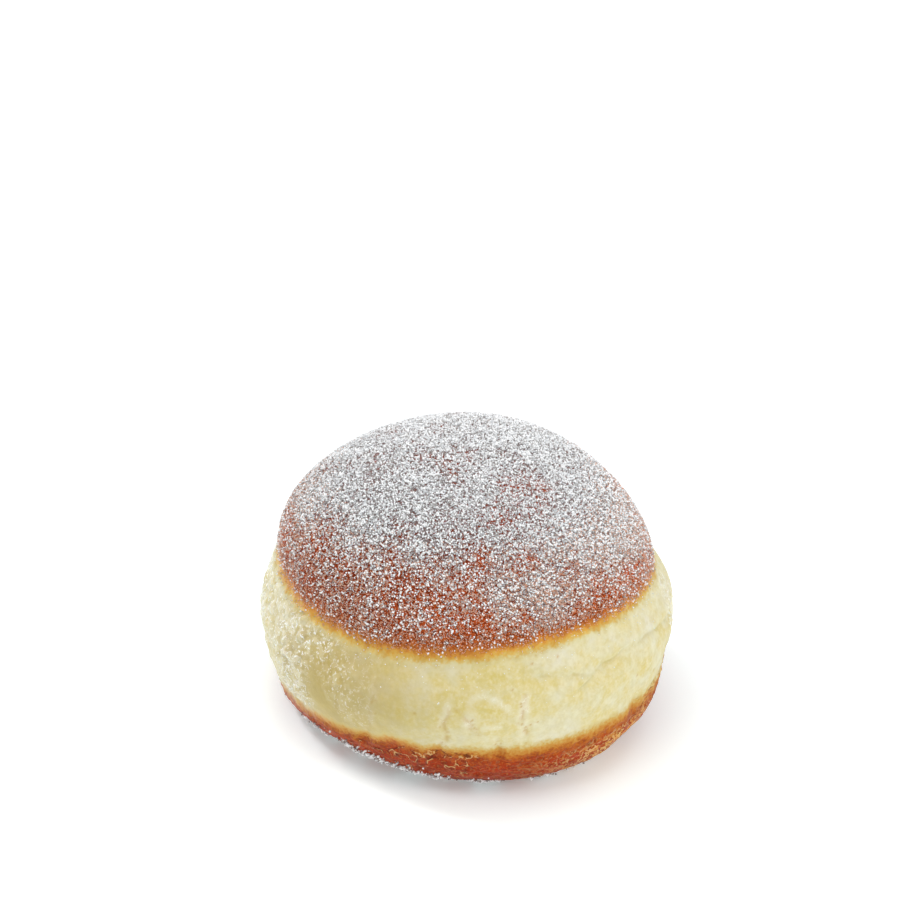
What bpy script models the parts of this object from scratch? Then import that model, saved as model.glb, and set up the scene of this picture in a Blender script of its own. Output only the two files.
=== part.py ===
"""A paczki: a round raised doughnut, fried on both sides and left uncut, standing on its browned underside.

It is one solid. From the floor up it has a flat foot, a low rounded base, a pale band that swells out
between the two fried crusts, and a domed top. The form is a turned profile of four curves, made uneven
round its axis as a hand-shaped doughnut is. Metres, +Z up, the front towards -Y, the origin under the
middle of the part on the surface that it stands on.
"""

import math

import bmesh
import bpy
import numpy as np

MM = 0.001

# Driving dimensions
BELLY_RADIUS = 42.3 * MM
HEIGHT = 61.0 * MM
DOME_RADIUS = 38.4 * MM
DOME_EDGE_Z = 36.5 * MM
BELLY_Z = 24.7 * MM
BASE_RADIUS = 40.1 * MM
BASE_EDGE_Z = 13.0 * MM
FOOT_RADIUS = 26.0 * MM

# How full the curves are: 1 is an ellipse or a sine, less is squarer
BASE_FULLNESS = 1.1
BELLY_FULLNESS = 1.2
DOME_FULLNESS = 1.05

# Unevenness. Each wave runs round the axis: (height, how many times round, angle of a crest in degrees)
OVAL = ((0.057, 2, -45),)
DOME_EDGE_WAVES = ((1.6 * MM, 1, 18), (0.7 * MM, 2, -45), (0.9 * MM, 3, -57))
BASE_EDGE_WAVES = ((6.6 * MM, 1, 2), (2.0 * MM, 2, 55))
BELLY_WAVES = ((1.0 * MM, 1, 189), (0.6 * MM, 3, -2))
DOME_LEAN = (-2.7 * MM, -0.2 * MM)

# Relief: (size of the lumps, their height)
BROAD_LUMPS = (30 * MM, 0.35 * MM)
BAND_LUMPS = (11 * MM, 0.3 * MM)
BASE_WRINKLES = (6.5 * MM, 0.32 * MM)
WAVES_PER_LUMP_FIELD = 16

# Folds in the pale band, each a soft groove from one (angle in degrees, height) to the next
FOLD_DEPTH = 0.7 * MM
FOLD_WIDTH = 1.7 * MM
FOLDS = (
    ((-6, 25 * MM), (-19, 26 * MM), (-31, 29 * MM), (-44, 29 * MM), (-57, 25 * MM)),
    ((-50, 28 * MM), (-60, 28.5 * MM), (-74, 31 * MM)),
    ((28, 20 * MM), (47, 23 * MM), (66, 22 * MM)),
    ((104, 29 * MM), (122, 26 * MM), (138, 27 * MM)),
    ((158, 21 * MM), (171, 23.5 * MM), (186, 22 * MM)),
)

# Upright tears where the pale band meets the base crust: (angle in degrees, length)
TEARS = (
    (-124, 4.5 * MM),
    (-99, 5.5 * MM),
    (-82, 4.0 * MM),
    (-38, 3.5 * MM),
    (18, 5.0 * MM),
    (75, 4.0 * MM),
    (131, 5.5 * MM),
    (176, 4.0 * MM),
)
TEAR_DEPTH = 0.7 * MM
TEAR_WIDTH = 1.5 * MM

# How finely the solid is cut
STEPS_ROUND = 124
BASE_ROWS = 8
BAND_ROWS = 14
DOME_ROWS = 16

CRUST_COLOUR = (0.42, 0.17, 0.05, 1.0)
CRUST_ROUGHNESS = 0.6


def clear_scene():
    for obj in list(bpy.data.objects):
        bpy.data.objects.remove(obj)


def belly_swell(height):
    """Share of the belly's swell at this height: 0 at the two crust edges and 1 at BELLY_Z."""
    below = np.sin(0.5 * np.pi * np.clip((height - BASE_EDGE_Z) / (BELLY_Z - BASE_EDGE_Z), 0, 1))
    above = np.sin(0.5 * np.pi * np.clip((DOME_EDGE_Z - height) / (DOME_EDGE_Z - BELLY_Z), 0, 1))
    return np.where(height < BELLY_Z, below, above) ** BELLY_FULLNESS


def wave(angle, waves):
    """The sum of cosine waves round the axis."""
    return sum(size * np.cos(count * (angle - np.radians(crest))) for size, count, crest in waves)


def profile():
    """(radius, height) pairs up the outside, from the foot's edge to the top of the dome."""
    turn = np.linspace(0, 0.5 * np.pi, BASE_ROWS, endpoint=False)
    base = np.stack(
        [
            FOOT_RADIUS + (BASE_RADIUS - FOOT_RADIUS) * np.sin(turn) ** BASE_FULLNESS,
            BASE_EDGE_Z * (1 - np.cos(turn) ** BASE_FULLNESS),
        ],
        axis=1,
    )
    height = np.linspace(BASE_EDGE_Z, DOME_EDGE_Z, BAND_ROWS, endpoint=False)
    share = (height - BASE_EDGE_Z) / (DOME_EDGE_Z - BASE_EDGE_Z)
    straight = BASE_RADIUS + (DOME_RADIUS - BASE_RADIUS) * share
    at_belly = np.interp(BELLY_Z, height, straight)
    band = np.stack([straight + (BELLY_RADIUS - at_belly) * belly_swell(height), height], axis=1)
    turn = np.linspace(0, 0.5 * np.pi, DOME_ROWS + 1)
    dome = np.stack(
        [
            DOME_RADIUS * np.abs(np.cos(turn)) ** DOME_FULLNESS,
            DOME_EDGE_Z + (HEIGHT - DOME_EDGE_Z) * np.sin(turn) ** DOME_FULLNESS,
        ],
        axis=1,
    )
    dome[-1, 0] = 0
    return np.concatenate([base, band, dome])


def lumps(points, size, seed):
    """A smooth random field of about -1 to 1 whose lumps are about this size: a sum of plane waves."""
    draw = np.random.default_rng(seed)
    ways = draw.normal(size=(WAVES_PER_LUMP_FIELD, 3))
    ways /= np.linalg.norm(ways, axis=1, keepdims=True)
    lengths = size * draw.uniform(1.4, 2.6, WAVES_PER_LUMP_FIELD)
    phases = draw.uniform(0, 2 * np.pi, WAVES_PER_LUMP_FIELD)
    waves = np.cos(points @ (2 * np.pi * ways / lengths[:, None]).T + phases)
    return waves.sum(axis=1) / math.sqrt(2 * WAVES_PER_LUMP_FIELD)


def groove(angle, height, path):
    """0 to 1: how deep a point lies in the groove along this path of (degrees, height) pairs."""
    nearest = np.full(len(angle), np.inf)
    for (start_turn, start_z), (end_turn, end_z) in zip(path, path[1:]):
        from_start = np.radians(start_turn)
        across = BELLY_RADIUS * (np.mod(angle - from_start + np.pi, 2 * np.pi) - np.pi)
        way = np.array([BELLY_RADIUS * np.radians(end_turn - start_turn), end_z - start_z])
        share = np.clip((across * way[0] + (height - start_z) * way[1]) / (way @ way), 0, 1)
        gap = np.hypot(across - share * way[0], height - start_z - share * way[1])
        nearest = np.minimum(nearest, gap)
    return np.exp(-((nearest / FOLD_WIDTH) ** 2))


def tear(angle, height, turn, length):
    """0 to 1: how deep a point lies in the upright tear at this many degrees."""
    across = BELLY_RADIUS * (np.mod(angle - np.radians(turn) + np.pi, 2 * np.pi) - np.pi)
    return np.exp(-((across / TEAR_WIDTH) ** 2) - ((height - BASE_EDGE_Z) / length) ** 2)


def uneven(points):
    """Moves the points of the turned form to those of the real, hand-shaped one."""
    angle = np.arctan2(points[:, 1], points[:, 0])
    radius = np.hypot(points[:, 0], points[:, 1])
    height = points[:, 2]
    in_band = belly_swell(height)
    in_base = np.clip(1.3 - height / BASE_EDGE_Z, 0, 1) * np.clip(height / (0.3 * BASE_EDGE_Z), 0, 1)
    off_floor = np.clip(height / (0.5 * BASE_EDGE_Z), 0, 1)

    rise = np.clip((height - DOME_EDGE_Z) / (HEIGHT - DOME_EDGE_Z), 0, 1)

    radius = radius * (1 + (1 - rise) * wave(angle, OVAL))
    relief = in_band * wave(angle, BELLY_WAVES)
    relief += off_floor * BROAD_LUMPS[1] * lumps(points, BROAD_LUMPS[0], seed=3)
    relief += in_band * BAND_LUMPS[1] * lumps(points, BAND_LUMPS[0], seed=5)
    relief += in_base * BASE_WRINKLES[1] * lumps(points * (1, 1, 2.2), BASE_WRINKLES[0], seed=8)
    for path in FOLDS:
        relief -= FOLD_DEPTH * in_band * groove(angle, height, path)
    for turn, length in TEARS:
        relief -= TEAR_DEPTH * tear(angle, height, turn, length)

    # Relief stands square to the surface: outwards on the sides and upwards over the dome.
    radius = radius + relief * np.sqrt(1 - rise**2)

    at_dome_edge = np.clip((height - BASE_EDGE_Z) / (DOME_EDGE_Z - BASE_EDGE_Z), 0, 1)
    at_dome_edge *= np.clip((HEIGHT - height) / (HEIGHT - DOME_EDGE_Z), 0, 1)
    at_base_edge = np.clip(height / BASE_EDGE_Z, 0, 1)
    at_base_edge *= np.clip((DOME_EDGE_Z - height) / (DOME_EDGE_Z - BASE_EDGE_Z), 0, 1)
    edges = at_dome_edge * wave(angle, DOME_EDGE_WAVES) + at_base_edge * wave(angle, BASE_EDGE_WAVES)
    lean = height / HEIGHT
    return np.stack(
        [
            radius * np.cos(angle) + DOME_LEAN[0] * lean,
            radius * np.sin(angle) + DOME_LEAN[1] * lean,
            height + relief * rise + edges,
        ],
        axis=1,
    )


def turned_form():
    """The profile spun round the Z axis, its foot closed by one flat face."""
    form = bmesh.new()
    corners = [form.verts.new((radius, 0, height)) for radius, height in profile()]
    edges = [form.edges.new(pair) for pair in zip(corners, corners[1:])]
    bmesh.ops.spin(
        form,
        geom=corners + edges,
        axis=(0, 0, 1),
        cent=(0, 0, 0),
        angle=2 * math.pi,
        steps=STEPS_ROUND,
        use_merge=True,
    )
    bmesh.ops.remove_doubles(form, verts=form.verts, dist=0.01 * MM)
    bmesh.ops.holes_fill(form, edges=[edge for edge in form.edges if edge.is_boundary])
    return form


def make_paczki():
    form = turned_form()
    places = uneven(np.array([vert.co for vert in form.verts]))
    middle = 0.5 * (places.min(axis=0) + places.max(axis=0))
    places[:, :2] -= middle[:2]
    for vert, place in zip(form.verts, places):
        vert.co = place
    bmesh.ops.recalc_face_normals(form, faces=form.faces)
    mesh = bpy.data.meshes.new("paczki")
    form.to_mesh(mesh)
    form.free()
    mesh.shade_smooth()
    paczki = bpy.data.objects.new("paczki", mesh)
    bpy.context.scene.collection.objects.link(paczki)
    paczki.data.materials.append(fried_crust())


def fried_crust():
    material = bpy.data.materials.new("fried_crust")
    material.use_nodes = True
    shader = material.node_tree.nodes["Principled BSDF"]
    shader.inputs["Base Color"].default_value = CRUST_COLOUR
    shader.inputs["Roughness"].default_value = CRUST_ROUGHNESS
    shader.inputs["Metallic"].default_value = 0.0
    return material


clear_scene()
make_paczki()
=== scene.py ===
"""A paczki dusted with sugar, on a pale studio floor.

Metres, +Z up, the front towards -Y, the origin on the floor under the middle of the doughnut.
"""

import math

import bpy
import numpy as np
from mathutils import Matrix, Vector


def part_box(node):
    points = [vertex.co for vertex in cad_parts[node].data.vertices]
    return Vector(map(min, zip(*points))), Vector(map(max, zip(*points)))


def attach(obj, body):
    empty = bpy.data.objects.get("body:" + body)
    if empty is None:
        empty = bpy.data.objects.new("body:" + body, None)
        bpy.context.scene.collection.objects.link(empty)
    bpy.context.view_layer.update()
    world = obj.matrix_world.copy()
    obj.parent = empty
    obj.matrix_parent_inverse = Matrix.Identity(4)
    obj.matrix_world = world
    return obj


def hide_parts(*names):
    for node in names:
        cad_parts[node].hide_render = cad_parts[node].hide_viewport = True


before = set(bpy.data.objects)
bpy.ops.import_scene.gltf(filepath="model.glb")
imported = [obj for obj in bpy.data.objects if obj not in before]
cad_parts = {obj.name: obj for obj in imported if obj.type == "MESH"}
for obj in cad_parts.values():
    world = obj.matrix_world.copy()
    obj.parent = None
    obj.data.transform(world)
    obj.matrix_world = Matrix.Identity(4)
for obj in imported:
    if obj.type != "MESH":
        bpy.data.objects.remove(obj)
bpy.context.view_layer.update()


# The doughnut: one piece of raised yeast dough, fried on one side and then the other, so that it has two
# brown crusts and between them a pale band that stood clear of the oil. Its form is a turned profile of four
# curves, uneven round its axis, with the same sizes as the solid that it replaces.

MM = 0.001

BELLY_RADIUS = 42.3 * MM
HEIGHT = 61.0 * MM
DOME_RADIUS = 38.4 * MM
DOME_EDGE_Z = 36.5 * MM
BELLY_Z = 24.7 * MM
BASE_RADIUS = 40.1 * MM
BASE_EDGE_Z = 13.0 * MM
FOOT_RADIUS = 26.0 * MM

# How full the curves are: 1 is an ellipse or a sine, less is squarer
BASE_FULLNESS = 1.1
BELLY_FULLNESS = 1.2
DOME_FULLNESS = 1.05

# Unevenness. Each wave runs round the axis: (height, how many times round, angle of a crest in degrees). The
# height of the oval's is a share of the radius. The lean is how far the top stands off along X and Y
OVAL = ((0.057, 2, -45),)
DOME_EDGE_WAVES = ((1.6 * MM, 1, 18), (0.7 * MM, 2, -45), (0.9 * MM, 3, -57))
BASE_EDGE_WAVES = ((6.6 * MM, 1, 2), (2.0 * MM, 2, 55))
BELLY_WAVES = ((1.0 * MM, 1, 189), (0.6 * MM, 3, -2))
DOME_LEAN = (-2.7 * MM, -0.2 * MM)

# Relief of the solid: (size of the lumps, their height). The wrinkles are flatter than they are wide
BROAD_LUMPS = (30 * MM, 0.35 * MM)
BAND_LUMPS = (11 * MM, 0.3 * MM)
BASE_WRINKLES = (6.5 * MM, 0.32 * MM)
BASE_WRINKLE_FLATNESS = 2.2

# Folds in the pale band, each a soft groove from one (angle in degrees, height) to the next
FOLD_DEPTH = 0.7 * MM
FOLD_WIDTH = 1.7 * MM
FOLDS = (
    ((-6, 25 * MM), (-19, 26 * MM), (-31, 29 * MM), (-44, 29 * MM), (-57, 25 * MM)),
    ((-50, 28 * MM), (-60, 28.5 * MM), (-74, 31 * MM)),
    ((28, 20 * MM), (47, 23 * MM), (66, 22 * MM)),
    ((104, 29 * MM), (122, 26 * MM), (138, 27 * MM)),
    ((158, 21 * MM), (171, 23.5 * MM), (186, 22 * MM)),
)

# Upright tears where the pale band meets the base crust: (angle in degrees, length)
TEARS = (
    (-124, 4.5 * MM),
    (-99, 5.5 * MM),
    (-82, 4.0 * MM),
    (-38, 3.5 * MM),
    (18, 5.0 * MM),
    (75, 4.0 * MM),
    (131, 5.5 * MM),
    (176, 4.0 * MM),
)
TEAR_DEPTH = 0.7 * MM
TEAR_WIDTH = 1.5 * MM

# The grid of the skin: rows up each stretch, and steps round, which lie closer together at the front
FOOT_ROWS = 8
BASE_ROWS = 54
BAND_ROWS = 66
DOME_ROWS = 48
STEPS_ROUND = 540
CLOSER_IN_FRONT = 0.3


def within(value, low, high):
    """0 where the value is low, 1 where it is high and a straight line between: low may be the larger one."""
    return np.clip((value - low) / (high - low), 0, 1)


def bell(gap):
    """A bell curve of the gap: e to the power of minus its square, so 1 at 0 and next to nothing beyond 2."""
    return np.exp(-(gap**2))


def belly_swell(height):
    """Share of the belly's swell at this height: sines that are 0 at both crust edges and 1 at BELLY_Z."""
    below = np.sin(0.5 * np.pi * within(height, BASE_EDGE_Z, BELLY_Z))
    above = np.sin(0.5 * np.pi * within(height, DOME_EDGE_Z, BELLY_Z))
    return np.where(height < BELLY_Z, below, above) ** BELLY_FULLNESS


def wave(angle, waves):
    """The sum of cosine waves round the axis."""
    return sum(size * np.cos(count * (angle - np.radians(crest))) for size, count, crest in waves)


def profile():
    """(radius, height) pairs from the middle of the foot, round the outside, to the top of the dome."""
    foot = np.stack([np.linspace(0, FOOT_RADIUS, FOOT_ROWS, endpoint=False), np.zeros(FOOT_ROWS)], axis=1)
    turn = np.linspace(0, 0.5 * np.pi, BASE_ROWS, endpoint=False)
    base = np.stack(
        [
            FOOT_RADIUS + (BASE_RADIUS - FOOT_RADIUS) * np.sin(turn) ** BASE_FULLNESS,
            BASE_EDGE_Z * (1 - np.cos(turn) ** BASE_FULLNESS),
        ],
        axis=1,
    )
    height = np.linspace(BASE_EDGE_Z, DOME_EDGE_Z, BAND_ROWS, endpoint=False)
    share = (height - BASE_EDGE_Z) / (DOME_EDGE_Z - BASE_EDGE_Z)
    straight = BASE_RADIUS + (DOME_RADIUS - BASE_RADIUS) * share
    at_belly = np.interp(BELLY_Z, height, straight)
    band = np.stack([straight + (BELLY_RADIUS - at_belly) * belly_swell(height), height], axis=1)
    turn = np.linspace(0, 0.5 * np.pi, DOME_ROWS + 1)
    dome = np.stack(
        [
            DOME_RADIUS * np.abs(np.cos(turn)) ** DOME_FULLNESS,
            DOME_EDGE_Z + (HEIGHT - DOME_EDGE_Z) * np.sin(turn) ** DOME_FULLNESS,
        ],
        axis=1,
    )
    return np.concatenate([foot, base, band, dome])


def lumps(points, size, seed, waves=16):
    """A smooth random field of about -1 to 1 whose lumps are about this size: a sum of plane waves."""
    draw = np.random.default_rng(seed)
    ways = draw.normal(size=(waves, 3))
    ways /= np.linalg.norm(ways, axis=1, keepdims=True)
    lengths = size * draw.uniform(1.4, 2.6, waves)
    phases = draw.uniform(0, 2 * np.pi, waves)
    field = np.cos(points @ (2 * np.pi * ways / lengths[:, None]).T + phases)
    return field.sum(axis=-1) / math.sqrt(2 * waves)


def in_patches(points, usual, swing, size, seed):
    """0 to 1, in random patches of this size: the usual share, and up to about the swing more or less."""
    return np.clip(usual + swing * lumps(points, size, seed), 0, 1)


def turn_from(angle, turn):
    """How far round an angle lies from this many degrees, from -pi to pi."""
    return np.mod(angle - np.radians(turn) + np.pi, 2 * np.pi) - np.pi


def arc_from(angle, turn):
    """How far round the belly a point lies from this many degrees, in metres and with its sign."""
    return BELLY_RADIUS * turn_from(angle, turn)


def groove(angle, height, path, width):
    """0 to 1: a bell curve of the distance to this path of (degrees, height) pairs, on the unrolled band."""
    nearest = np.full(angle.shape, np.inf)
    for (start_turn, start_z), (end_turn, end_z) in zip(path, path[1:]):
        across = arc_from(angle, start_turn)
        way = np.array([BELLY_RADIUS * np.radians(end_turn - start_turn), end_z - start_z])
        share = np.clip((across * way[0] + (height - start_z) * way[1]) / (way @ way), 0, 1)
        gap = np.hypot(across - share * way[0], height - start_z - share * way[1])
        nearest = np.minimum(nearest, gap)
    return bell(nearest / width)


def hand_shaped(angle, radius, height):
    """The turned form's points moved to the solid's: oval, leaning, its crust edges tilted and waved."""
    points = np.stack([radius * np.cos(angle), radius * np.sin(angle), height], axis=-1)
    in_band = belly_swell(height)
    in_base = within(height, 1.3 * BASE_EDGE_Z, 0.3 * BASE_EDGE_Z) * within(height, 0, 0.3 * BASE_EDGE_Z)
    off_floor = within(height, 0, 0.5 * BASE_EDGE_Z)
    rise = within(height, DOME_EDGE_Z, HEIGHT)

    relief = in_band * wave(angle, BELLY_WAVES)
    relief += off_floor * BROAD_LUMPS[1] * lumps(points, BROAD_LUMPS[0], seed=3)
    relief += in_band * BAND_LUMPS[1] * lumps(points, BAND_LUMPS[0], seed=5)
    flattened = points * (1, 1, BASE_WRINKLE_FLATNESS)
    relief += in_base * BASE_WRINKLES[1] * lumps(flattened, BASE_WRINKLES[0], seed=8)
    for path in FOLDS:
        relief -= FOLD_DEPTH * in_band * groove(angle, height, path, FOLD_WIDTH)
    for turn, length in TEARS:
        across = arc_from(angle, turn) / TEAR_WIDTH
        relief -= TEAR_DEPTH * bell(across) * bell((height - BASE_EDGE_Z) / length)

    at_dome_edge = within(height, BASE_EDGE_Z, DOME_EDGE_Z) * within(height, HEIGHT, DOME_EDGE_Z)
    at_base_edge = within(height, 0, BASE_EDGE_Z) * within(height, DOME_EDGE_Z, BASE_EDGE_Z)
    edges = at_dome_edge * wave(angle, DOME_EDGE_WAVES) + at_base_edge * wave(angle, BASE_EDGE_WAVES)
    radius = radius * (1 + (1 - rise) * wave(angle, OVAL)) + relief * np.sqrt(1 - rise**2)
    lean = height / HEIGHT
    return np.stack(
        [
            radius * np.cos(angle) + DOME_LEAN[0] * lean,
            radius * np.sin(angle) + DOME_LEAN[1] * lean,
            height + relief * rise + edges,
        ],
        axis=-1,
    )


def outward(places):
    """Unit normals of a grid of places: the step round crossed with the step up. The poles have no step
    round, so theirs are given."""
    round_step = np.roll(places, -1, axis=1) - np.roll(places, 1, axis=1)
    up_step = np.gradient(places, axis=0)
    normals = np.cross(round_step, up_step)
    normals[0] = (0, 0, -1)
    normals[-1] = (0, 0, 1)
    return normals / np.linalg.norm(normals, axis=-1, keepdims=True)


steps = np.linspace(-np.pi, np.pi, STEPS_ROUND, endpoint=False)
angle_at = steps - CLOSER_IN_FRONT * np.cos(steps)
outline = profile()
angle, radius = np.meshgrid(angle_at, outline[:, 0])
height = np.repeat(outline[:, 1:], STEPS_ROUND, axis=1)
band_row = FOOT_ROWS + BASE_ROWS
dome_row = band_row + BAND_ROWS

skin = hand_shaped(angle, radius, height)
box_low, box_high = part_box("paczki")
for axis in (0, 1):
    middle = 0.5 * (skin[..., axis].min() + skin[..., axis].max())
    skin[..., axis] += 0.5 * (box_low[axis] + box_high[axis]) - middle

# Where the band, the base and the dome are, from 0 to 1 with soft edges, and how far up the dome a place is
in_band = within(height, BASE_EDGE_Z - 2 * MM, BASE_EDGE_Z + 1 * MM)
in_band *= within(height, DOME_EDGE_Z, DOME_EDGE_Z - 2 * MM)
in_base = within(height, BASE_EDGE_Z + 1 * MM, BASE_EDGE_Z - 1 * MM) * within(height, 0, 1.5 * MM)
in_dome = within(height, DOME_EDGE_Z, DOME_EDGE_Z + 3 * MM)
rise = within(height, DOME_EDGE_Z, HEIGHT)

# From here the relief is too fine for the solid. At the left and a little at the right the skin stayed wet
# in patches, (usual share, swing, size, seed), and it crinkled there as it cooled, into steep little folds
# with a grain of their own, (size of the lumps, their height), and with hollows between them. A wet place is
# (angle in degrees, reach round, how wet)
WET_PLACES = ((-165, 31 * MM, 1.0), (-12, 6 * MM, 0.6))
WET_PATCHES = (0.75, 0.6, 9 * MM, 21)
CRINKLE_SIZE = 1.7 * MM
CRINKLE_FLATNESS = 0.7
CRINKLE_STEEPNESS = 2.2
CRINKLE_GRAIN = (0.8 * MM, 0.35)
CRINKLE_DEPTH = 0.3 * MM
HOLLOW_START = -0.3
HOLLOW_STEEPNESS = 1.2
wet = sum(most * bell(arc_from(angle, turn) / reach) for turn, reach, most in WET_PLACES)
wet *= within(height, BASE_EDGE_Z - 4 * MM, BASE_EDGE_Z + 4 * MM)
wet *= within(height, DOME_EDGE_Z + 1 * MM, DOME_EDGE_Z - 2 * MM)
wet *= in_patches(skin, *WET_PATCHES)
crinkles = lumps(skin * (1, 1, CRINKLE_FLATNESS), CRINKLE_SIZE, seed=22, waves=28)
crinkles = CRINKLE_STEEPNESS * np.abs(crinkles) - 1
crinkles += CRINKLE_GRAIN[1] * lumps(skin, CRINKLE_GRAIN[0], seed=23, waves=28)
# The hollows between the crinkles are painted darker yellow: painted shade in those recesses
hollow_shade = wet * np.clip(HOLLOW_START - HOLLOW_STEEPNESS * crinkles, 0, 1)

# Cracks with torn strings of dough beside them, each from one (angle in degrees, height) to the next. They
# wobble, (size of the lumps, their height), and open in patches
CRACKS = (
    ((-117, 27 * MM), (-118.5, 23 * MM), (-120, 18 * MM), (-124, 13 * MM)),
    ((-95, 26 * MM), (-96.5, 22 * MM), (-95.5, 19 * MM), (-99, 14 * MM)),
    ((-93, 26 * MM), (-89, 22 * MM), (-86.5, 19 * MM)),
    ((-74, 27 * MM), (-75.5, 22 * MM), (-74, 18 * MM)),
    ((-82, 17 * MM), (-81, 12 * MM)),
    ((16, 24 * MM), (18, 18 * MM), (17, 12 * MM)),
    ((73, 25 * MM), (76, 19 * MM), (75, 12 * MM)),
    ((129, 24 * MM), (132, 18 * MM), (131, 12 * MM)),
)
CRACK_DEPTH = 0.2 * MM
CRACK_WIDTH = 0.45 * MM
CRACK_WOBBLE = (2.2 * MM, 0.5 * MM)
CRACK_PATCHES = (0.55, 0.9, 1.6 * MM, 34)
STRETCHED_WIDTH = 1.5 * MM
STRETCHED_PATCHES = (0.4, 1.1, 1.5 * MM, 39)
STRETCHED_FLATNESS = 0.5
wobbly = height + CRACK_WOBBLE[1] * lumps(skin, CRACK_WOBBLE[0], seed=33)
cracks = np.zeros_like(angle)
stretched = np.zeros_like(angle)
for path in CRACKS:
    cracks = np.maximum(cracks, groove(angle, wobbly, path, CRACK_WIDTH))
    stretched = np.maximum(stretched, groove(angle, wobbly, path, STRETCHED_WIDTH))
cracks *= in_patches(skin, *CRACK_PATCHES)

# A bubble under the skin, seen as a paler ring of stretched dough: (angle in degrees, height)
BUBBLE_PLACE = (-84, 24.5 * MM)
BUBBLE_RADIUS = 3.4 * MM
BUBBLE_FLATNESS = 0.8
BUBBLE_WOBBLE = (3 * MM, 0.7 * MM)
BUBBLE_RIM = 0.8 * MM
RIM_STRETCH = 0.8
bubble_gap = np.hypot(BUBBLE_FLATNESS * arc_from(angle, BUBBLE_PLACE[0]), height - BUBBLE_PLACE[1])
bubble_gap += BUBBLE_WOBBLE[1] * lumps(skin, BUBBLE_WOBBLE[0], seed=40)
stretched = np.maximum(stretched, RIM_STRETCH * bell((bubble_gap - BUBBLE_RADIUS) / BUBBLE_RIM))
stretched *= in_patches(skin * (1, 1, STRETCHED_FLATNESS), *STRETCHED_PATCHES)

# Pits where small bubbles burst, some along the cracks, straying from them by degrees and by height. A pit
# is worked out as far from its middle as this many times its radius
LOOSE_PITS = 50
PITS_PER_CRACK = 9
PIT_STRAY = (0.9, 0.4 * MM)
PIT_RADIUS = (0.14 * MM, 0.3 * MM)
PIT_DEPTH = 0.12 * MM
PIT_REACH = 3
draw = np.random.default_rng(31)
pit_turns = list(draw.uniform(-180, 180, LOOSE_PITS))
pit_heights = list(draw.uniform(BASE_EDGE_Z, DOME_EDGE_Z, LOOSE_PITS))
for path in CRACKS:
    corners = np.arange(len(path))
    turns, levels = np.array(path).T
    share = np.sort(draw.uniform(0, 1, PITS_PER_CRACK)) * (len(path) - 1)
    pit_turns.extend(np.interp(share, corners, turns) + draw.normal(0, PIT_STRAY[0], PITS_PER_CRACK))
    pit_heights.extend(np.interp(share, corners, levels) + draw.normal(0, PIT_STRAY[1], PITS_PER_CRACK))
pits = np.zeros_like(angle)
for turn, pit_z, pit_radius in zip(pit_turns, pit_heights, draw.uniform(*PIT_RADIUS, len(pit_turns))):
    near = np.abs(arc_from(angle_at, turn)) < PIT_REACH * pit_radius
    level = np.abs(outline[:, 1] - pit_z) < PIT_REACH * pit_radius
    part = np.ix_(level, near)
    gap = np.hypot(arc_from(angle[part], turn), height[part] - pit_z) / pit_radius
    pits[part] = np.maximum(pits[part], bell(gap))

# The sharp crease in a fold, and the roll of skin that hangs over it: (angle in degrees, height)
CREASES = (
    (
        (-6, 25 * MM),
        (-19, 26.3 * MM),
        (-33, 28.4 * MM),
        (-42, 29 * MM),
        (-50, 27.9 * MM),
        (-54, 26.4 * MM),
        (-60, 25 * MM),
    ),
    ((-54, 26.8 * MM), (-60, 28.6 * MM), (-69, 30.3 * MM)),
    *FOLDS[2:],
)
CREASE_DEPTH = 0.26 * MM
CREASE_WIDTH = 0.36 * MM
CREASE_WOBBLE = (2.5 * MM, 0.25 * MM)
CREASE_PATCHES = (0.7, 0.6, 4 * MM, 44)
ROLL_HEIGHT = 0.34 * MM
ROLL_WIDTH = 1.3 * MM
bent = height + CREASE_WOBBLE[1] * lumps(skin, CREASE_WOBBLE[0], seed=46)
creases = np.zeros_like(angle)
rolls = np.zeros_like(angle)
for path in CREASES:
    creases = np.maximum(creases, groove(angle, bent, path, CREASE_WIDTH))
    rolls = np.maximum(rolls, groove(angle, height - ROLL_WIDTH, path, ROLL_WIDTH))
creases *= in_patches(skin, *CREASE_PATCHES)

# Where the band tore from the base crust: curled shreds of dough, each with a hollow under it. They lie about
# these angles, in degrees, and thin out below between these heights
RAGGED_ANGLES = (-124, -112, -100, -95, -28, -18, 17, 75, 130, 176)
RAGGED_WIDTH = 5.5 * MM
RAGGED_FULLNESS = 1.2
RAGGED_TOP = BASE_EDGE_Z + 1 * MM
RAGGED_FOOT = (3.6 * MM, 9.6 * MM)
RAGGED_DEPTH = 0.15 * MM
SHRED_SIZE = 2.0 * MM
SHRED_FLATNESS = 1.3
SHRED_WIDTH = 0.15
ragged = sum(bell(arc_from(angle, turn) / RAGGED_WIDTH) for turn in RAGGED_ANGLES)
ragged = np.clip(RAGGED_FULLNESS * ragged, 0, 1)
ragged *= within(height, RAGGED_TOP, RAGGED_TOP - 1 * MM) * within(height, *RAGGED_FOOT)
tatters = lumps(skin * (1, 1, SHRED_FLATNESS), SHRED_SIZE, seed=45, waves=28)
shreds = bell(tatters / SHRED_WIDTH) - bell((tatters - 2 * SHRED_WIDTH) / SHRED_WIDTH)

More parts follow.
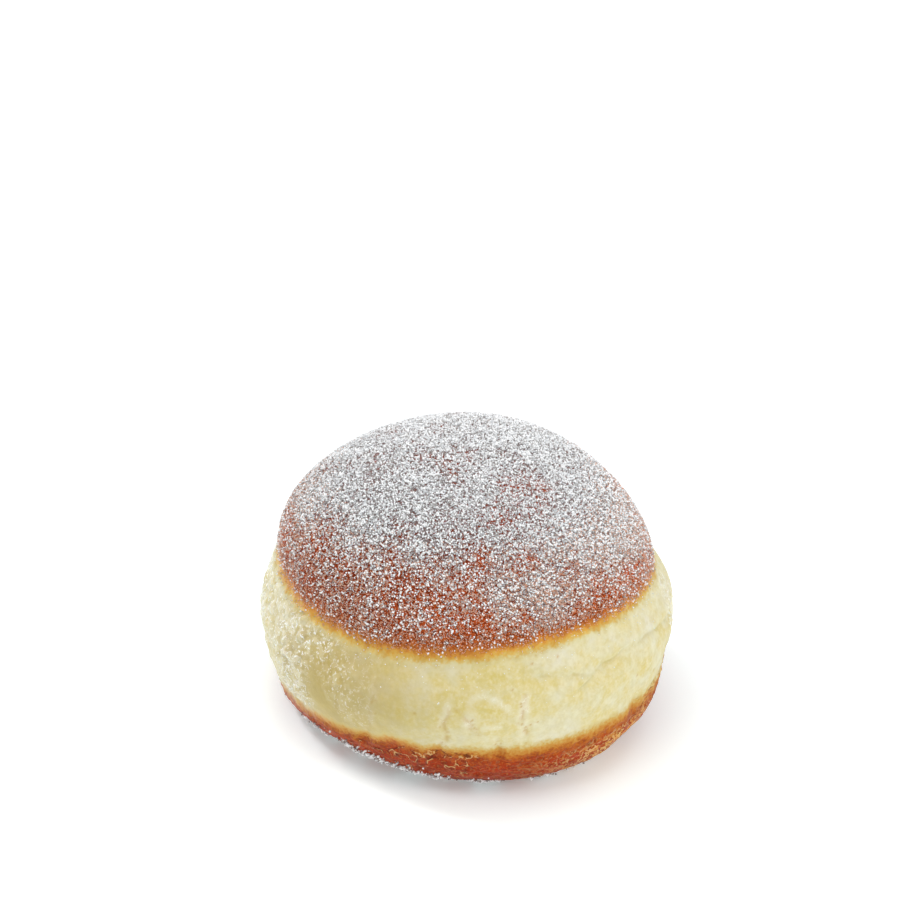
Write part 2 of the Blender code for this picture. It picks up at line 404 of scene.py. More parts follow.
# The grain of the three skins, (size of the lumps, their height, seed), and the fine wrinkles of the base
# crust, which are flatter than they are wide
BAND_GRAIN = (2.6 * MM, 0.06 * MM, 35)
BASE_GRAIN = (1.1 * MM, 0.07 * MM, 37)
DOME_GRAIN = (1.8 * MM, 0.05 * MM, 38)
WRINKLE_SIZE = 2.4 * MM
WRINKLE_DEPTH = 0.16 * MM
WRINKLE_FLATNESS = 2.6
fine = wet * CRINKLE_DEPTH * crinkles
fine += ragged * RAGGED_DEPTH * shreds
fine += in_band * (ROLL_HEIGHT * rolls - CREASE_DEPTH * creases - PIT_DEPTH * pits - CRACK_DEPTH * cracks)
wrinkles = lumps(skin * (1, 1, WRINKLE_FLATNESS), WRINKLE_SIZE, seed=36, waves=24)
fine += in_base * WRINKLE_DEPTH * (1 - 2 * np.abs(wrinkles))
for here, (size, depth, seed) in ((in_band, BAND_GRAIN), (in_base, BASE_GRAIN), (in_dome, DOME_GRAIN)):
    fine += here * depth * lumps(skin, size, seed, waves=24)
skin += outward(skin) * fine[..., None]
skin_normals = outward(skin)

# Distances along the profile from the two crust edges, in millimetres, which the crusts' colours follow. Here
# and there the oil stood a little higher or lower: angles in degrees, and how much further the crust reaches
DOME_EDGE_TURNS = (-170, -155, -140, -120, -60, 20, 100, 150)
DOME_EDGE_SHIFTS = (0.9, 1.4, 0.8, 0.2, -0.1, 0.3, -0.4, 0.3)
BASE_EDGE_TURNS = (-160, -130, -121, -113, -105, -95, -75, -45, -18, 20, 90, 150)
BASE_EDGE_SHIFTS = (0.7, 0.2, 0.3, 1.8, 0.3, 0.2, -0.4, -0.8, -2.0, 0.0, 0.6, -0.4)
along = np.concatenate([[0], np.cumsum(np.linalg.norm(np.diff(outline, axis=0), axis=1))])
crust_mm = np.repeat(((along - along[dome_row]) / MM)[:, None], STEPS_ROUND, axis=1)
under_mm = np.repeat(((along[band_row] - along) / MM)[:, None], STEPS_ROUND, axis=1)
crust_mm += np.interp(np.degrees(angle), DOME_EDGE_TURNS, DOME_EDGE_SHIFTS, period=360)
under_mm += np.interp(np.degrees(angle), BASE_EDGE_TURNS, BASE_EDGE_SHIFTS, period=360)

# The share of the dome that the sugar covers: most on top and behind, (how much more, angle in degrees), and
# less low down at the front, with thicker and thinner patches: (angle in degrees, distance from the axis, how
# wide, how much is added)
SUGAR_LEAST = 0.2
SUGAR_BY_HEIGHT = 0.59
SUGAR_FULLNESS = 0.7
SUGAR_BEHIND = (0.045, 20)
SUGAR_PATCHES = (
    (-139, 23 * MM, 6 * MM, 0.14),
    (-102, 7 * MM, 4 * MM, -0.18),
    (-16, 6 * MM, 6 * MM, -0.12),
    (-44, 16.5 * MM, 5.5 * MM, -0.26),
    (-126, 34 * MM, 7 * MM, -0.02),
    (-90, 26 * MM, 5 * MM, -0.14),
    (-94, 37 * MM, 8 * MM, -0.08),
    (-90, 18 * MM, 6 * MM, 0.09),
    (-44, 33 * MM, 8 * MM, 0.22),
    (-66, 36.5 * MM, 7 * MM, 0.22),
    (-20, 35 * MM, 7 * MM, 0.08),
    (-170, 25 * MM, 7 * MM, 0.07),
    (-18, 33 * MM, 9 * MM, 0.17),
    (-178, 30 * MM, 9 * MM, 0.24),
    (-146, 38 * MM, 5 * MM, -0.06),
    (-113, 27 * MM, 5 * MM, 0.1),
    (-80, 22 * MM, 6 * MM, 0.02),
    (-30, 24 * MM, 9 * MM, 0.03),
    (-158, 37 * MM, 5 * MM, -0.1),
    (96, 8 * MM, 9 * MM, -0.08),
    (-45, 37.5 * MM, 6 * MM, -0.17),
    (70, 30 * MM, 9 * MM, -0.1),
    (130, 34 * MM, 10 * MM, 0.04),
)
SUGAR_UNEVENNESS = (0.1, 5 * MM)
SUGAR_RANGE = (0.03, 0.82)
# How far outside the crust's edge the sugar begins, in millimetres: at the front, and how much more
# elsewhere. The front turns into the sides between the angles with these sines. The sugar has its
# full share at the fade's width further in
SUGAR_OUTSIDE = (0.1, 1.1)
FRONT_TO_SIDES = (-0.88, -0.58)
SUGAR_FADE = 3.2
sugar = SUGAR_LEAST + SUGAR_BY_HEIGHT * rise**SUGAR_FULLNESS
sugar += SUGAR_BEHIND[0] * (1 + np.cos(angle - np.radians(SUGAR_BEHIND[1])))
turned = np.stack([radius * np.cos(angle), radius * np.sin(angle), height], axis=-1)
for turn, patch_radius, width, amount in SUGAR_PATCHES:
    patch_z = np.interp(-patch_radius, -outline[dome_row:, 0], outline[dome_row:, 1])
    way = math.radians(turn)
    middle = (patch_radius * math.cos(way), patch_radius * math.sin(way), patch_z)
    sugar += amount * bell(np.linalg.norm(turned - middle, axis=-1) / width)
sugar += SUGAR_UNEVENNESS[0] * lumps(skin, SUGAR_UNEVENNESS[1], seed=41)
begins = -SUGAR_OUTSIDE[0] - SUGAR_OUTSIDE[1] * within(np.sin(angle), *FRONT_TO_SIDES)
sugar = np.clip(sugar, *SUGAR_RANGE) * within(crust_mm, begins, begins + SUGAR_FADE)
# Grains that fall at random leave e to the power of minus their thickness uncovered
thickness = -np.log(1 - sugar)

# How yellow the band is, above and below the usual: (angle in degrees, height, how wide, how much is added).
# Each patch is flatter than it is wide
YELLOW_PATCHES = (
    (-128, 24 * MM, 16 * MM, 0.1),
    (-104, 27 * MM, 8 * MM, 0.2),
    (-84, 25.5 * MM, 4 * MM, 0.25),
    (-70, 27.5 * MM, 7 * MM, 0.36),
    (-48, 25 * MM, 7 * MM, 0.12),
    (-36, 31 * MM, 10 * MM, -0.3),
    (-60, 33 * MM, 6 * MM, -0.15),
    (-88, 17 * MM, 8 * MM, -0.12),
    (-75, 21 * MM, 6 * MM, 0.2),
    (-56, 21 * MM, 6 * MM, 0.1),
    (-54, 30 * MM, 6 * MM, -0.12),
    (-116, 30 * MM, 7 * MM, -0.3),
    (-151, 28 * MM, 6 * MM, -0.2),
    (-172, 32 * MM, 8 * MM, -0.15),
    (-160, 27 * MM, 14 * MM, -0.2),
    (40, 25 * MM, 14 * MM, 0.25),
    (95, 24 * MM, 14 * MM, -0.2),
    (150, 26 * MM, 14 * MM, 0.2),
)
YELLOW_FLATNESS = 0.6
yellow = np.zeros_like(angle)
for turn, patch_z, width, amount in YELLOW_PATCHES:
    above = (height - patch_z) / (YELLOW_FLATNESS * width)
    yellow += amount * bell(arc_from(angle, turn) / width) * bell(above)

# Where the band is darker and duller: painted shade at its front left, which is turned from the lights
BAND_SHADE_ANGLE = -133
BAND_SHADE_REACH = (22 * MM, 19 * MM)
band_shade = bell(arc_from(angle, BAND_SHADE_ANGLE) / BAND_SHADE_REACH[0]) * bell((height - BELLY_Z) / BAND_SHADE_REACH[1])

# Where the lowest edge of the base stayed paler, at the right: the oil had cooled there
PALE_FOOT_ANGLE = -44
PALE_FOOT_REACH = 15 * MM
PALE_FOOT_TOP = 11.5 * MM
pale_foot = bell(arc_from(angle, PALE_FOOT_ANGLE) / PALE_FOOT_REACH)
pale_foot *= within(height, PALE_FOOT_TOP, PALE_FOOT_TOP - 3 * MM)

# How dark the dome browned: dark at the front, behind and on top, and orange low down at the sides. A dark
# side is (angle and reach in degrees, how dark), and the unevenness is (how much, size of the lumps)
DARK_SIDES = ((-116, 55, 1.0), (135, 62, 0.75))
TOP_DARKNESS = 0.85
BROWNING_UNEVENNESS = (0.3, 16 * MM)
browned = sum(dark * bell(turn_from(angle, turn) / math.radians(reach)) for turn, reach, dark in DARK_SIDES)
browned = np.maximum(browned, TOP_DARKNESS * rise**2)
browned += BROWNING_UNEVENNESS[0] * lumps(skin, BROWNING_UNEVENNESS[1], seed=42)

# What the material reads at each place on the skin. A crack looks like a shallow pit
CRACKS_AS_PITS = 0.6
skin_maps = {
    "crust_mm": crust_mm,
    "under_mm": under_mm,
    "wet": wet,
    "pits": np.maximum(pits, CRACKS_AS_PITS * cracks) * in_band,
    "stretched": stretched * in_band,
    "creases": creases * in_band,
    "yellow": yellow,
    "band_shade": band_shade,
    "ragged": ragged,
    "tatters": tatters,
    "pale_foot": pale_foot,
    "hollow": hollow_shade,
    "sugar": sugar,
    "browned": np.clip(browned, 0, 1),
}


def put_in_scene(name, mesh):
    """Makes a mesh a piece of the scene, at the origin."""
    piece = bpy.data.objects.new(name, mesh)
    bpy.context.scene.collection.objects.link(piece)
    return piece


def ring_mesh(name, places, maps):
    """A closed skin: rows of quads round, and a fan of triangles at the first and last rows, which are poles.
    The maps have a number for each place, and the mesh keeps them as attributes."""
    rows, columns = places.shape[:2]
    inner = places[1:-1].reshape(-1, 3)
    points = np.concatenate([places[:1, 0], inner, places[-1:, 0]])
    ring = 1 + np.arange((rows - 2) * columns).reshape(rows - 2, columns)
    after = np.roll(ring, -1, axis=1)
    quads = np.stack([ring[:-1], after[:-1], after[1:], ring[1:]], axis=-1).reshape(-1, 4)
    first = np.stack([np.zeros(columns, int), after[0], ring[0]], axis=-1)
    last = np.stack([np.full(columns, len(points) - 1), ring[-1], after[-1]], axis=-1)
    mesh = bpy.data.meshes.new(name)
    mesh.from_pydata(points, [], quads.tolist() + first.tolist() + last.tolist())
    for label, values in maps.items():
        flat = np.concatenate([values[:1, 0], values[1:-1].ravel(), values[-1:, 0]])
        mesh.attributes.new(label, "FLOAT", "POINT").data.foreach_set("value", flat.astype(np.float32))
    mesh.shade_smooth()
    return put_in_scene(name, mesh)


def linear(colour):
    """An sRGB hex colour as the linear RGBA that shaders take."""
    parts = [int(colour[at : at + 2], 16) / 255 for at in (1, 3, 5)]
    return (*[part / 12.92 if part <= 0.04045 else ((part + 0.055) / 1.055) ** 2.4 for part in parts], 1)


def add_node(material, kind, output, inputs=None, stops=(), **settings):
    """Adds a node with its settings and returns one of its outputs. An input is a number, a hex colour or
    another node's output, which is linked. stops are a ramp's (place, hex colour) pairs."""
    tree = material.node_tree
    node = tree.nodes.new("ShaderNode" + kind)
    for name, value in settings.items():
        setattr(node, name, value)
    for name, value in (inputs or {}).items():
        if isinstance(value, bpy.types.NodeSocket):
            tree.links.new(value, node.inputs[name])
        else:
            node.inputs[name].default_value = linear(value) if isinstance(value, str) else value
    for at, (place, colour) in enumerate(stops):
        ramp = node.color_ramp.elements
        stop = ramp[at] if at < 2 else ramp.new(place)
        stop.position = place
        stop.color = linear(colour)
    return node.outputs[output]


def new_material(name, **sockets):
    """A Principled material with these sockets set, and its shader."""
    material = bpy.data.materials.new(name)
    material.use_nodes = True
    shader = material.node_tree.nodes["Principled BSDF"]
    for socket, value in sockets.items():
        value = linear(value) if isinstance(value, str) else value
        shader.inputs[socket.replace("_", " ")].default_value = value
    return material, shader


def blended(material, fields, start, *terms):
    """A start plus fields, each times its weight. A term is (name of the field, weight). A noise is 0.5 on
    the average, which a start below 0 makes up for."""
    total = start
    for name, weight in terms:
        inputs = {0: fields[name], 1: weight, 2: total}
        total = add_node(material, "Math", 0, inputs, operation="MULTIPLY_ADD")
    return total


def coloured_by(material, value, steps):
    """The colour at a value, between steps of (value, hex colour)."""
    low, high = steps[0][0], steps[-1][0]
    share = add_node(material, "MapRange", "Result", {"Value": value, "From Min": low, "From Max": high})
    stops = [((at - low) / (high - low), colour) for at, colour in steps]
    return add_node(material, "ValToRGB", "Color", {"Fac": share}, stops)


def painted(material, fields, ground, layers):
    """Colours laid over a ground, one after another. A layer is its colour, the most of it that shows, and
    for each field that it follows (name, value where it starts to show, value where it is full)."""
    for colour, most, *limits in layers:
        share = most
        for name, starts, full in limits:
            inputs = {"Value": fields[name], "From Min": starts, "From Max": full, "To Max": share}
            share = add_node(material, "MapRange", "Result", inputs)
        ground = add_node(material, "Mix", 2, {"Factor": share, 6: ground, 7: colour}, data_type="RGBA")
    return ground


# The patterns in the dough: (size of a lump, detail, roughness, how it is stretched or turned). Fried skin
# has a grain of a tenth of a millimetre or so: crumbs and speckle are drawn as coarse as they need to be to
# show, and askew, so that they don't line up with the outline
UPRIGHT = {"Scale": (1, 1, 0.35)}
LEVEL = {"Scale": (1, 1, WRINKLE_FLATNESS)}
ASKEW = {"Rotation": (0.6, 0.9, 0.4)}
PATTERNS = {
    "patches": (13 * MM, 2.0, 0.5, {}),
    "mottle": (3.5 * MM, 3.0, 0.6, {}),
    "wrinkles": (2.6 * MM, 2.0, 0.5, LEVEL),
    "shreds": (2.0 * MM, 3.0, 0.65, LEVEL),
    "film": (1.6 * MM, 2.0, 0.6, {}),
    "veins": (1.5 * MM, 2.0, 0.5, {}),
    "fibres": (1.1 * MM, 2.0, 0.5, UPRIGHT),
    "crumbs": (0.6 * MM, 1.0, 0.5, ASKEW),
    "speckle": (0.45 * MM, 1.0, 0.5, ASKEW),
}
# The middle line of the veins, where it is at its lightest
VEIN_LINES = (("veins", 0.465, 0.49), ("veins", 0.535, 0.51))
# The values of its field between which the powder of sugar closes
POWDER_STARTS, POWDER_FULL = 1.07, 1.14


def skin_fields(dough):
    """The patterns in the dough and the maps on its skin, by name, and what follows from them: how far into
    each crust a place is, with an edge that wanders by half a millimetre or so and more where the band tore,
    and how much powder lies there."""
    place = add_node(dough, "TexCoord", "Object")
    fields = {name: add_node(dough, "Attribute", "Fac", attribute_name=name) for name in skin_maps}
    for name, (size, detail, rough, turn) in PATTERNS.items():
        where = add_node(dough, "Mapping", "Vector", {"Vector": place, **turn})
        inputs = {"Vector": where, "Scale": 1 / size, "Detail": detail, "Roughness": rough}
        fields[name] = add_node(dough, "TexNoise", "Fac", inputs)
    wander = blended(dough, fields, -2.875, ("mottle", 2.25), ("fibres", 1.5), ("crumbs", 2.0))
    torn = blended(dough, fields, -2.5, ("shreds", 5.0))
    fields["into_dome"] = blended(dough, fields, wander, ("crust_mm", 1.0))
    fields["into_base"] = blended(dough, fields, wander, ("under_mm", 1.0), ("ragged", torn))
    fields["powder"] = blended(dough, fields, 0.0, ("speckle", 1.0), ("sugar", 0.9))
    return fields


def band_colour(dough, fields):
    """The band: cream to egg yellow in soft patches, paler along its fibres and where it is stretched, and
    yellower in pits. It is darker in the hollows between its crinkles and in its creases, and duller at its
    front left: painted shade. Where it is wet it is paler in patches, partly painted sheen, and it has white
    painted glints that stand for highlights on the wet film."""
    tone = blended(dough, fields, -1.065, ("patches", 1.72), ("mottle", 1.41), ("yellow", 1.0))
    steps = ((0.0, "#dfd8bf"), (0.35, "#ddd3aa"), (0.65, "#dccc90"), (1.0, "#dac678"))
    ground = coloured_by(dough, tone, steps)
    mottle = {"Value": fields["mottle"], "From Min": 0.62, "From Max": 0.42, "To Min": 0.78, "To Max": 0.98}
    layers = (
        ("#eae4cc", 0.2, ("fibres", 0.5, 0.75)),
        ("#ece4c6", 0.25, ("crumbs", 0.45, 0.7)),
        ("#f0ead0", 0.22, ("veins", 0.48, 0.62)),
        ("#cbb972", 0.22, ("film", 0.52, 0.38)),
        ("#ece6cf", 0.75, ("stretched", 0, 1)),
        ("#c1933a", 0.8, ("pits", 0, 1)),
        # Painted shade in the hollows between the crinkles
        ("#cbb562", 0.6, ("hollow", 0, 1)),
        # Painted shade in the creases of the folds
        ("#bcab62", 0.32, ("creases", 0, 1)),
        ("#f1ebd5", 0.8, *VEIN_LINES, ("film", 0.45, 0.55), ("stretched", 0, 1)),
        # Painted shade: the band is darker and duller at its front left, which is turned from the lights
        ("#b9a15c", add_node(dough, "MapRange", "Result", mottle), ("band_shade", 0, 1)),
        # Paler patches where the band is wet: partly the wet skin's own paleness and partly painted sheen
        ("#efe6c6", 0.45, ("veins", 0.5, 0.58), ("wet", 0.3, 0.85)),
        # Painted glints: white strokes and dots that stand for highlights on the wet film
        ("#fdfbf4", 0.9, *VEIN_LINES, ("film", 0.49, 0.55), ("wet", 0.25, 0.7)),
        ("#fdfbf4", 0.9, ("crumbs", 0.63, 0.68), ("wet", 0.25, 0.7)),
    )
    return painted(dough, fields, ground, layers)


def top_crust_colour(dough, fields):
    """The top crust: gold at its edge, and from there darker for 5 or 6 mm inwards. It is dark where it
    browned most and orange where it browned least, with darker mottling. Fine dark specks within its edge
    are painted shade in the gaps between the sugar grains."""
    edge = coloured_by(
        dough,
        fields["into_dome"],
        (
            (-3.0, "#dbd0a0"),
            (-1.6, "#dac98e"),
            (-0.8, "#dbba68"),
            (-0.1, "#dca94a"),
            (0.5, "#d9983e"),
            (1.2, "#d18433"),
            (2.1, "#c46c2a"),
            (5.0, "#b4541c"),
        ),
    )
    inside = coloured_by(dough, fields["browned"], ((0.0, "#ee661a"), (0.5, "#c8561a"), (1.0, "#a3451b")))
    layers = (
        (inside, 1, ("into_dome", 1.5, 6)),
        ("#6b2617", 0.25, ("mottle", 0.4, 0.75)),
        # Painted shade: dark specks in the gaps between the sugar grains
        ("#5c1d09", 0.8, ("speckle", 0.53, 0.43), ("into_dome", 0.5, 3.5)),
    )
    return painted(dough, fields, edge, layers)


def base_crust_colour(dough, fields):
    """The base crust: gold at its edge and chestnut within, with dark wrinkles and lighter specks. Shreds of
    the band lie on its ragged stretches, with painted shade in the hollow under each, and its pale foot is
    crumbly."""
    ground = coloured_by(
        dough,
        fields["into_base"],
        (
            (-3.0, "#d6c488"),
            (-2.0, "#d1b66f"),
            (-1.2, "#cfa656"),
            (-0.5, "#ca9040"),
            (0.4, "#bf7022"),
            (1.6, "#b24406"),
            (3.6, "#ae3504"),
            (9.0, "#9b2a03"),
        ),
    )
    fields["frayed"] = blended(dough, fields, -0.85, ("tatters", 1.0), ("fibres", 0.9), ("mottle", 0.8))
    fields["crumbly"] = blended(dough, fields, 0.0, ("crumbs", 0.5), ("wrinkles", 0.5))
    foot = {"Value": fields["pale_foot"], "From Min": 0, "From Max": 1, "To Min": 0.04, "To Max": 0.44}
    within_edge = ("into_base", 0, 2)
    torn = ("ragged", 0, 1)
    layers = (
        ("#7a2808", 0.4, ("mottle", 0.45, 0.65), within_edge),
        ("#561c0c", 0.7, ("wrinkles", 0.465, 0.5), ("wrinkles", 0.535, 0.5), within_edge),
        ("#74290f", 0.5, ("crumbs", 0.5, 0.66), within_edge),
        ("#d9823a", 0.28, ("speckle", 0.54, 0.66), within_edge),
        ("#4e1a0b", 0.45, ("shreds", 0.42, 0.34), within_edge),
        ("#dba45a", 0.24, ("shreds", 0.6, 0.66), within_edge),
        # Painted shade in the hollow under each shred
        ("#521a0a", 0.65, ("frayed", 0.04, 0.16), ("frayed", 0.4, 0.28), ("shreds", 0.46, 0.53), torn),
        ("#e8cd8c", 0.62, ("frayed", -0.1, -0.04), ("frayed", 0.1, 0.04), ("film", 0.49, 0.55), torn),
        ("#dfa850", 0.8, ("crumbly", 0.47, 0.53), ("pale_foot", 0, 1)),
        ("#f3dfae", add_node(dough, "MapRange", "Result", foot), ("crumbs", 0.58, 0.63), within_edge),
    )
    return painted(dough, fields, ground, layers)


def powder_and_grain_shade_colour(dough, fields):
    """Sugar too fine to be grains lies as a powder on the dome, almost shut on top and with more gaps lower
    down, where it took up fat and is warmer. Where the sugar lies thick the powder is dark grey, which is
    painted shade in the gaps between the piled grains, with specks of lighter powder."""
    layers = (
        # Painted shade between the piled grains, where the sugar is thick
        ("#6e6d6e", 1, ("sugar", 0.42, 0.68)),
        ("#c6c7ca", 1, ("crumbs", 0.54, 0.6)),
    )
    return painted(dough, fields, "#b98363", layers)


def fried_dough():
    """Fried yeast dough. Sugars in the dough browned in the oil, which leaves each crust darkest where it lay
    deepest and golden at its edge. The band between was only steamed, so it is pale, moist and a little
    translucent, and its skin is glossy where it stayed wet."""
    dough, shader = new_material(
        "fried_yeast_dough",
        Subsurface_Weight=0.15,
        Subsurface_Scale=0.7 * MM,
        Subsurface_Radius=(1.0, 0.7, 0.35),
        Specular_IOR_Level=0.12,
        Coat_Roughness=0.14,
        Coat_IOR=1.4,
    )
    fields = skin_fields(dough)
    layers = (
        (top_crust_colour(dough, fields), 1, ("into_dome", -2.6, -0.9)),
        (base_crust_colour(dough, fields), 1, ("into_base", -3.2, -1.3)),
        (powder_and_grain_shade_colour(dough, fields), 0.85, ("powder", POWDER_STARTS, POWDER_FULL)),
    )
    colour = painted(dough, fields, band_colour(dough, fields), layers)
    powder = {"Value": fields["powder"], "From Min": POWDER_STARTS, "From Max": POWDER_FULL}
    rough = add_node(dough, "MapRange", "Result", {**powder, "To Min": 0.5, "To Max": 0.9})
    wet_film = blended(dough, fields, 0.0, ("wet", 1.6))
    relief = blended(dough, fields, 0.0, ("fibres", 0.5), ("speckle", 0.3), ("crumbs", wet_film))
    bump = add_node(dough, "Bump", "Normal", {"Height": relief, "Strength": 0.6, "Distance": 0.25 * MM})
    links = {"Base Color": colour, "Roughness": rough, "Coat Weight": fields["wet"], "Normal": bump}
    for socket, source in {**links, "Coat Normal": bump}.items():
        dough.node_tree.links.new(source, shader.inputs[socket])
    return dough


paczki = ring_mesh("doughnut", skin, skin_maps)
paczki.data.materials.append(fried_dough())
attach(paczki, "root")
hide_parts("paczki")


# The dusting on the dome: crushed sugar, sifted on while the crust was still a little greasy. Coarse and
# middling white grains lie thickest on top. The finest ones, lower down and at the front, took up some fat,
# which made them warmer.

# The grains lie in clumps of this size, and this is how far chance outweighs the clumps
CLUMP_SIZE = 0.7 * MM
CLUMP_CHANCE = 1.9
# How many places are drawn for each one that is kept
PLACES_DRAWN = 3


def scatter(count, weight, seed):
    """Random places on the skin, and the normals there. A cell of the grid is drawn with a chance of its
    area times its weight, then a place in it. More are drawn than wanted, and those in the thickest clumps
    are kept."""
    draw = np.random.default_rng(seed)
    after = np.roll(skin, -1, axis=1)
    across = after[:-1] - skin[:-1]
    up = skin[1:] - skin[:-1]
    chance = (np.linalg.norm(np.cross(across, up), axis=-1) * 0.5 * (weight[1:] + weight[:-1])).ravel()
    cells = draw.choice(len(chance), PLACES_DRAWN * count, p=chance / chance.sum())
    row, column = np.divmod(cells, skin.shape[1])
    share = draw.uniform(size=(2, len(cells), 1))
    low = skin[row, column] * (1 - share[0]) + after[row, column] * share[0]
    high = skin[row + 1, column] * (1 - share[0]) + after[row + 1, column] * share[0]
    places = low * (1 - share[1]) + high * share[1]
    clump = lumps(places, CLUMP_SIZE, seed=50, waves=40) + draw.normal(0, CLUMP_CHANCE, len(places))
    kept = np.argsort(-clump)[:count]
    return places[kept], skin_normals[row, column][kept]


# Grains are crushed crystals: coarse ones are cut as octahedra and fine ones as tetrahedra, (corners, sides)
CHUNK = (
    np.array([(1, 0, 0), (-1, 0, 0), (0, 1, 0), (0, -1, 0), (0, 0, 1), (0, 0, -1)], float),
    np.array([(0, 2, 4), (2, 1, 4), (1, 3, 4), (3, 0, 4), (2, 0, 5), (1, 2, 5), (3, 1, 5), (0, 3, 5)]),
)
SPLINTER = (
    np.array([(1, 1, 1), (1, -1, -1), (-1, 1, -1), (-1, -1, 1)], float) / math.sqrt(3),
    np.array([(0, 1, 2), (0, 3, 1), (0, 2, 3), (1, 3, 2)]),
)
# How far a grain's corners are pushed in or out, and how far it stands off the skin, as shares of its size
CORNER_SHARES = (0.65, 1.15)
STAND_OFF = (0.0, 0.6)


def grain_mesh(name, form, places, normals, smallest, largest, seed):
    """Many grains of one form as one closed mesh, each in a random turn with its corners pushed in or out."""
    draw = np.random.default_rng(seed)
    count = len(places)
    corners, sides = form
    turns = np.linalg.qr(draw.normal(size=(count, 3, 3)))[0]
    turns *= np.sign(np.linalg.det(turns))[:, None, None]
    sizes = draw.uniform(smallest, largest, (count, 1, 1))
    shape = corners * draw.uniform(*CORNER_SHARES, (count, len(corners), 1)) * 0.5 * sizes
    middles = places + normals * sizes[:, 0] * draw.uniform(*STAND_OFF, (count, 1))
    points = shape @ turns + middles[:, None]
    faces = sides + len(corners) * np.arange(count)[:, None, None]
    mesh = bpy.data.meshes.new(name)
    mesh.from_pydata(points.reshape(-1, 3), [], faces.reshape(-1, 3))
    return put_in_scene(name, mesh)


def crushed_sugar(name, colour):
    """Crushed white sugar: crystals that scatter light inside, so they look white, with small bright
    faces."""
    return new_material("crushed_" + name, Base_Color=colour, Roughness=0.3, IOR=1.54)[0]


# Each kind of grain: (form, how many, smallest, largest, colour, seed). Crushed sugar goes down to a tenth of
# a millimetre, and the finest grains are drawn as coarse as they need to be to show
# The middling and fine grains are greyer copies of the white sugar: partly crust seen through clear crystals
# and partly painted shade among the piled grains
COARSE_GRAINS = (CHUNK, 20500, 0.38 * MM, 0.6 * MM, "#fcfdfe", 51)
MIDDLE_GRAINS = (CHUNK, 22000, 0.32 * MM, 0.47 * MM, "#dadde0", 52)
FINE_GRAINS = (SPLINTER, 39000, 0.32 * MM, 0.45 * MM, "#b2aeab", 53)
GREASY_GRAINS = (SPLINTER, 31000, 0.28 * MM, 0.4 * MM, "#e3ae90", 54)
# How much of each lies at the dome's edge, and how much more on top. The greasy ones lie thicker at the front
COARSE_SHARE = (0.7, 0.3)
MIDDLE_SHARE = (0.25, 0.75)
FINE_SHARE = (0.85, -0.25)
GREASY_SHARE = (1.05, -1.4)
GREASY_IN_FRONT = (0.6, 0.4)
greasy = np.clip(GREASY_SHARE[0] + GREASY_SHARE[1] * rise, 0, 1)
greasy *= GREASY_IN_FRONT[0] - GREASY_IN_FRONT[1] * np.sin(angle)
for label, (form, count, smallest, largest, colour, seed), share_here in (
    ("sugar_coarse", COARSE_GRAINS, COARSE_SHARE[0] + COARSE_SHARE[1] * rise),
    ("sugar_middle", MIDDLE_GRAINS, MIDDLE_SHARE[0] + MIDDLE_SHARE[1] * rise),
    ("sugar_fine", FINE_GRAINS, FINE_SHARE[0] + FINE_SHARE[1] * rise),
    ("sugar_greasy", GREASY_GRAINS, greasy),
):
    places, normals = scatter(count, thickness * share_here, seed)
    grains = grain_mesh(label, form, places, normals, smallest, largest, seed + 10)
    grains.data.materials.append(crushed_sugar(label, colour))
    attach(grains, "root")


# Stray sugar: specks that fell on the pale band, and coarse crystals that the lower edge picked up where it
# was set down in spilt sugar, thickest at the left of the front. Some of those are white, and some are clear
# and look darker, because the crust shows through.

# Each kind: (how many, smallest, largest, colour, seed)
BAND_GRAINS = (500, 0.12 * MM, 0.36 * MM, "#eceef1", 62)
FOOT_GRAINS = (5600, 0.35 * MM, 0.85 * MM, "#fafbfc", 63)
CLEAR_FOOT_GRAINS = (3600, 0.35 * MM, 0.75 * MM, "#a89d99", 64)
# Down the band the specks thin out with this power of the height
BAND_THINNING = 6
# Where the foot's grains lie thickest, (angle in degrees, reach round), how high they reach elsewhere and how
# much higher there, the least share of them elsewhere, and their patches and the least in a gap
THICKEST_AT_FOOT = (-150, 44 * MM)
FOOT_REACH = (1.6 * MM, 3.5 * MM)
FOOT_LEAST = 0.1
FOOT_PATCHES = (0.45, 0.9, 4 * MM, 61)
FOOT_GAP_LEAST = 0.02
on_band = within(height, BASE_EDGE_Z, DOME_EDGE_Z) ** BAND_THINNING * (crust_mm < 0)
left_front = bell(arc_from(angle, THICKEST_AT_FOOT[0]) / THICKEST_AT_FOOT[1])
at_foot = bell(height / (FOOT_REACH[0] + FOOT_REACH[1] * left_front)) * (radius > FOOT_RADIUS)
at_foot *= (FOOT_LEAST + left_front) * np.maximum(in_patches(skin, *FOOT_PATCHES), FOOT_GAP_LEAST)
for label, (count, smallest, largest, colour, seed), weight in (
    ("sugar_on_band", BAND_GRAINS, on_band),
    ("sugar_at_foot", FOOT_GRAINS, at_foot),
    ("sugar_clear_at_foot", CLEAR_FOOT_GRAINS, at_foot),
):
    places, normals = scatter(count, weight, seed)
    # Lifted, so that most of the lowest ones lie on the floor and not in it
    places[:, 2] = np.maximum(places[:, 2], 0.5 * largest)
    grains = grain_mesh(label, CHUNK, places, normals, smallest, largest, seed + 10)
    grains.data.materials.append(crushed_sugar(label, colour))
    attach(grains, "root")


# The studio: a white floor without a seam that glows a little, as a light table does, and a white surround.
# A large soft light hangs overhead, a smaller one stands at the right of the front, and a small one behind on
# the left lights that edge. The camera looks down at the front.

FLOOR_SIZE = 6.0
FLOOR_GLOW = 0.22
SURROUND_STRENGTH = 0.3
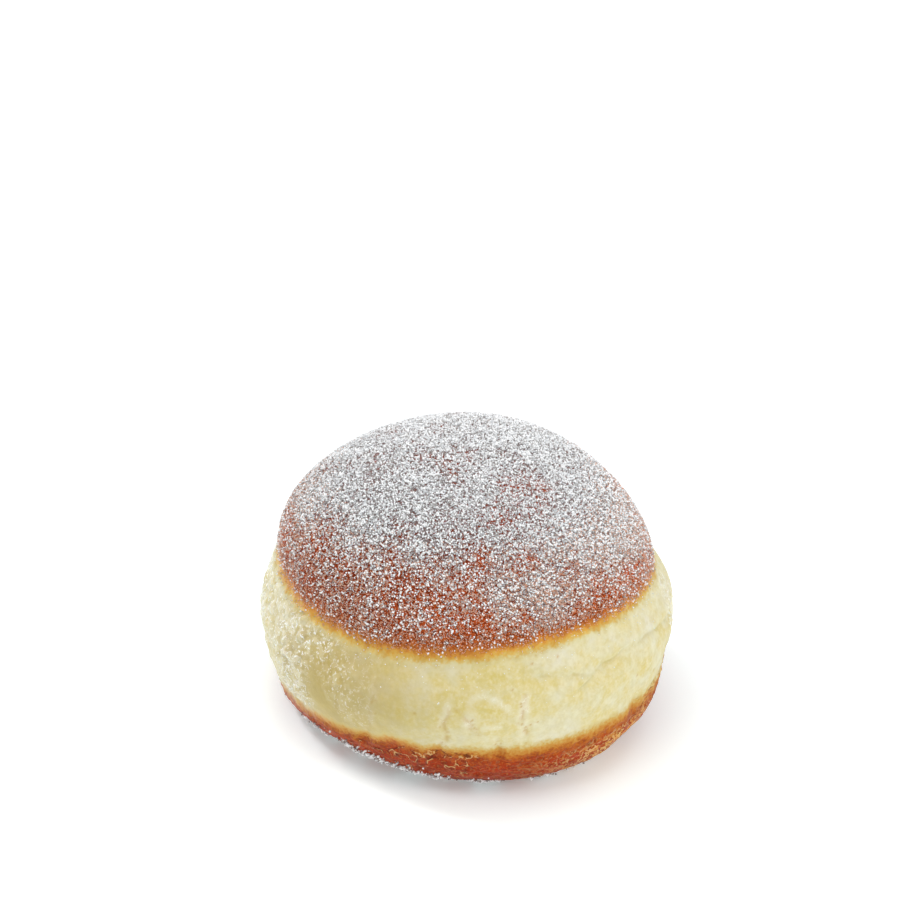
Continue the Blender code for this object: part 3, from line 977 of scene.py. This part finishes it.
# The photo's view: its size in pixels, how steeply and from how far it looks down, the height of the point
# that it looks at and the pixel at which that shows, how far the camera is shifted along X and Y, and the
# focal length in pixels
PHOTO_SIZE = (900, 909)
SIGHT_ELEVATION = math.radians(32.5)
SIGHT_DISTANCE = 0.8
AIM_HEIGHT = 30 * MM
AIM_PIXEL = (472.8, 576.9)
AIM_OFFSET = (1.4 * MM, -0.2 * MM)
FOCAL_PIXELS = 3861
SENSOR_WIDTH = 36

reach = 0.5 * FLOOR_SIZE
floor_mesh = bpy.data.meshes.new("floor")
floor_corners = [(-reach, -reach, 0), (reach, -reach, 0), (reach, reach, 0), (-reach, reach, 0)]
floor_mesh.from_pydata(floor_corners, [], [(0, 1, 2, 3)])
floor = put_in_scene("floor", floor_mesh)
floor_look, _ = new_material(
    "white_light_table",
    Base_Color="#f6fdff",
    Roughness=0.9,
    Emission_Color="#f9fffc",
    Emission_Strength=FLOOR_GLOW,
)
floor_mesh.materials.append(floor_look)


def soft_light(name, place, size, power):
    """A square area light at this place, facing the doughnut. Size in metres, power in watts."""
    light = bpy.data.lights.new(name, "AREA")
    light.size = size
    light.energy = power
    lamp = bpy.data.objects.new(name, light)
    lamp.location = place
    across, deep, up = np.array(place) - (0, 0, AIM_HEIGHT)
    lamp.rotation_euler = (math.atan2(math.hypot(across, deep), up), 0, math.atan2(across, -deep))
    bpy.context.scene.collection.objects.link(lamp)


soft_light("overhead", (0.0, -0.15, 1.0), 1.0, 6.7)
soft_light("front_right", (0.75, -0.47, 0.65), 0.5, 3.4)
soft_light("left_edge", (-0.5, 0.2, 0.75), 0.2, 2.8)
world = bpy.data.worlds.new("white_surround")
world.use_nodes = True
surround = world.node_tree.nodes["Background"]
surround.inputs["Color"].default_value = linear("#ffffff")
surround.inputs["Strength"].default_value = SURROUND_STRENGTH
bpy.context.scene.world = world
bpy.context.scene.view_settings.view_transform = "Standard"

side, drop = (AIM_PIXEL[at] - 0.5 * PHOTO_SIZE[at] for at in (0, 1))
tilt = SIGHT_ELEVATION - math.atan(drop / FOCAL_PIXELS)
yaw = math.atan(side / FOCAL_PIXELS) / math.cos(SIGHT_ELEVATION)
camera_data = bpy.data.cameras.new("camera")
camera_data.sensor_width = SENSOR_WIDTH
camera_data.lens = FOCAL_PIXELS * SENSOR_WIDTH / max(PHOTO_SIZE)
camera = bpy.data.objects.new("camera", camera_data)
camera.location = (
    AIM_OFFSET[0],
    AIM_OFFSET[1] - SIGHT_DISTANCE * math.cos(SIGHT_ELEVATION),
    AIM_HEIGHT + SIGHT_DISTANCE * math.sin(SIGHT_ELEVATION),
)
camera.rotation_euler = (0.5 * math.pi - tilt, 0, yaw)
bpy.context.scene.collection.objects.link(camera)
bpy.context.scene.camera = camera
